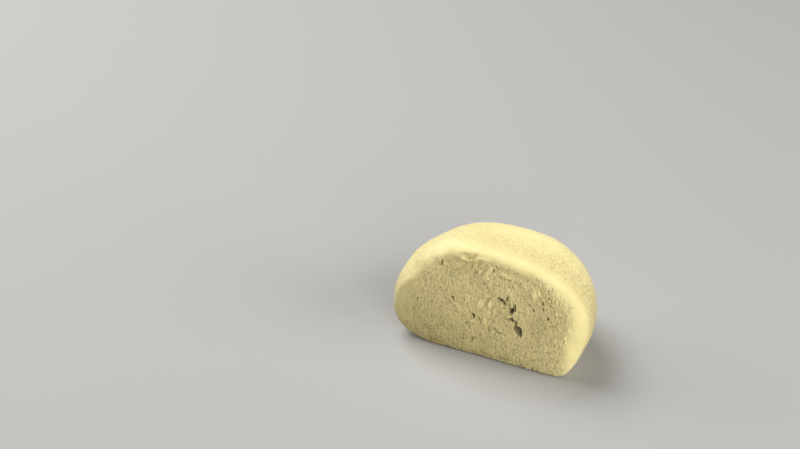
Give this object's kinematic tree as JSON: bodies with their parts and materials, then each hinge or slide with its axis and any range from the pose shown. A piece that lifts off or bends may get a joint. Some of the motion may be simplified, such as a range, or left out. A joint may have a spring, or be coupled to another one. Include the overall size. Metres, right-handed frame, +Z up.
{
  "type": "mochi",
  "caption": "Half of a round filled mochi, cut straight down and standing on its flat base: a soft dough skin with a rounded rim round a porous filling.",
  "frame": {"origin": "middle of the base of the bounding box, on the surface that the half stands on", "axes": "+X towards the right-hand end of the cut face, +Y from the cut face into the piece, +Z up"},
  "size_m": [0.0522, 0.0328, 0.0302],
  "materials": {
    "dough": "soft pale yellow rice dough, faintly dusted with starch",
    "filling": "matt pale yellow filling, finely porous where it is cut"
  },
  "bodies": {
    "root": {"mochi_skin": "dough", "mochi_filling": "filling"}
  },
  "joints": []
}
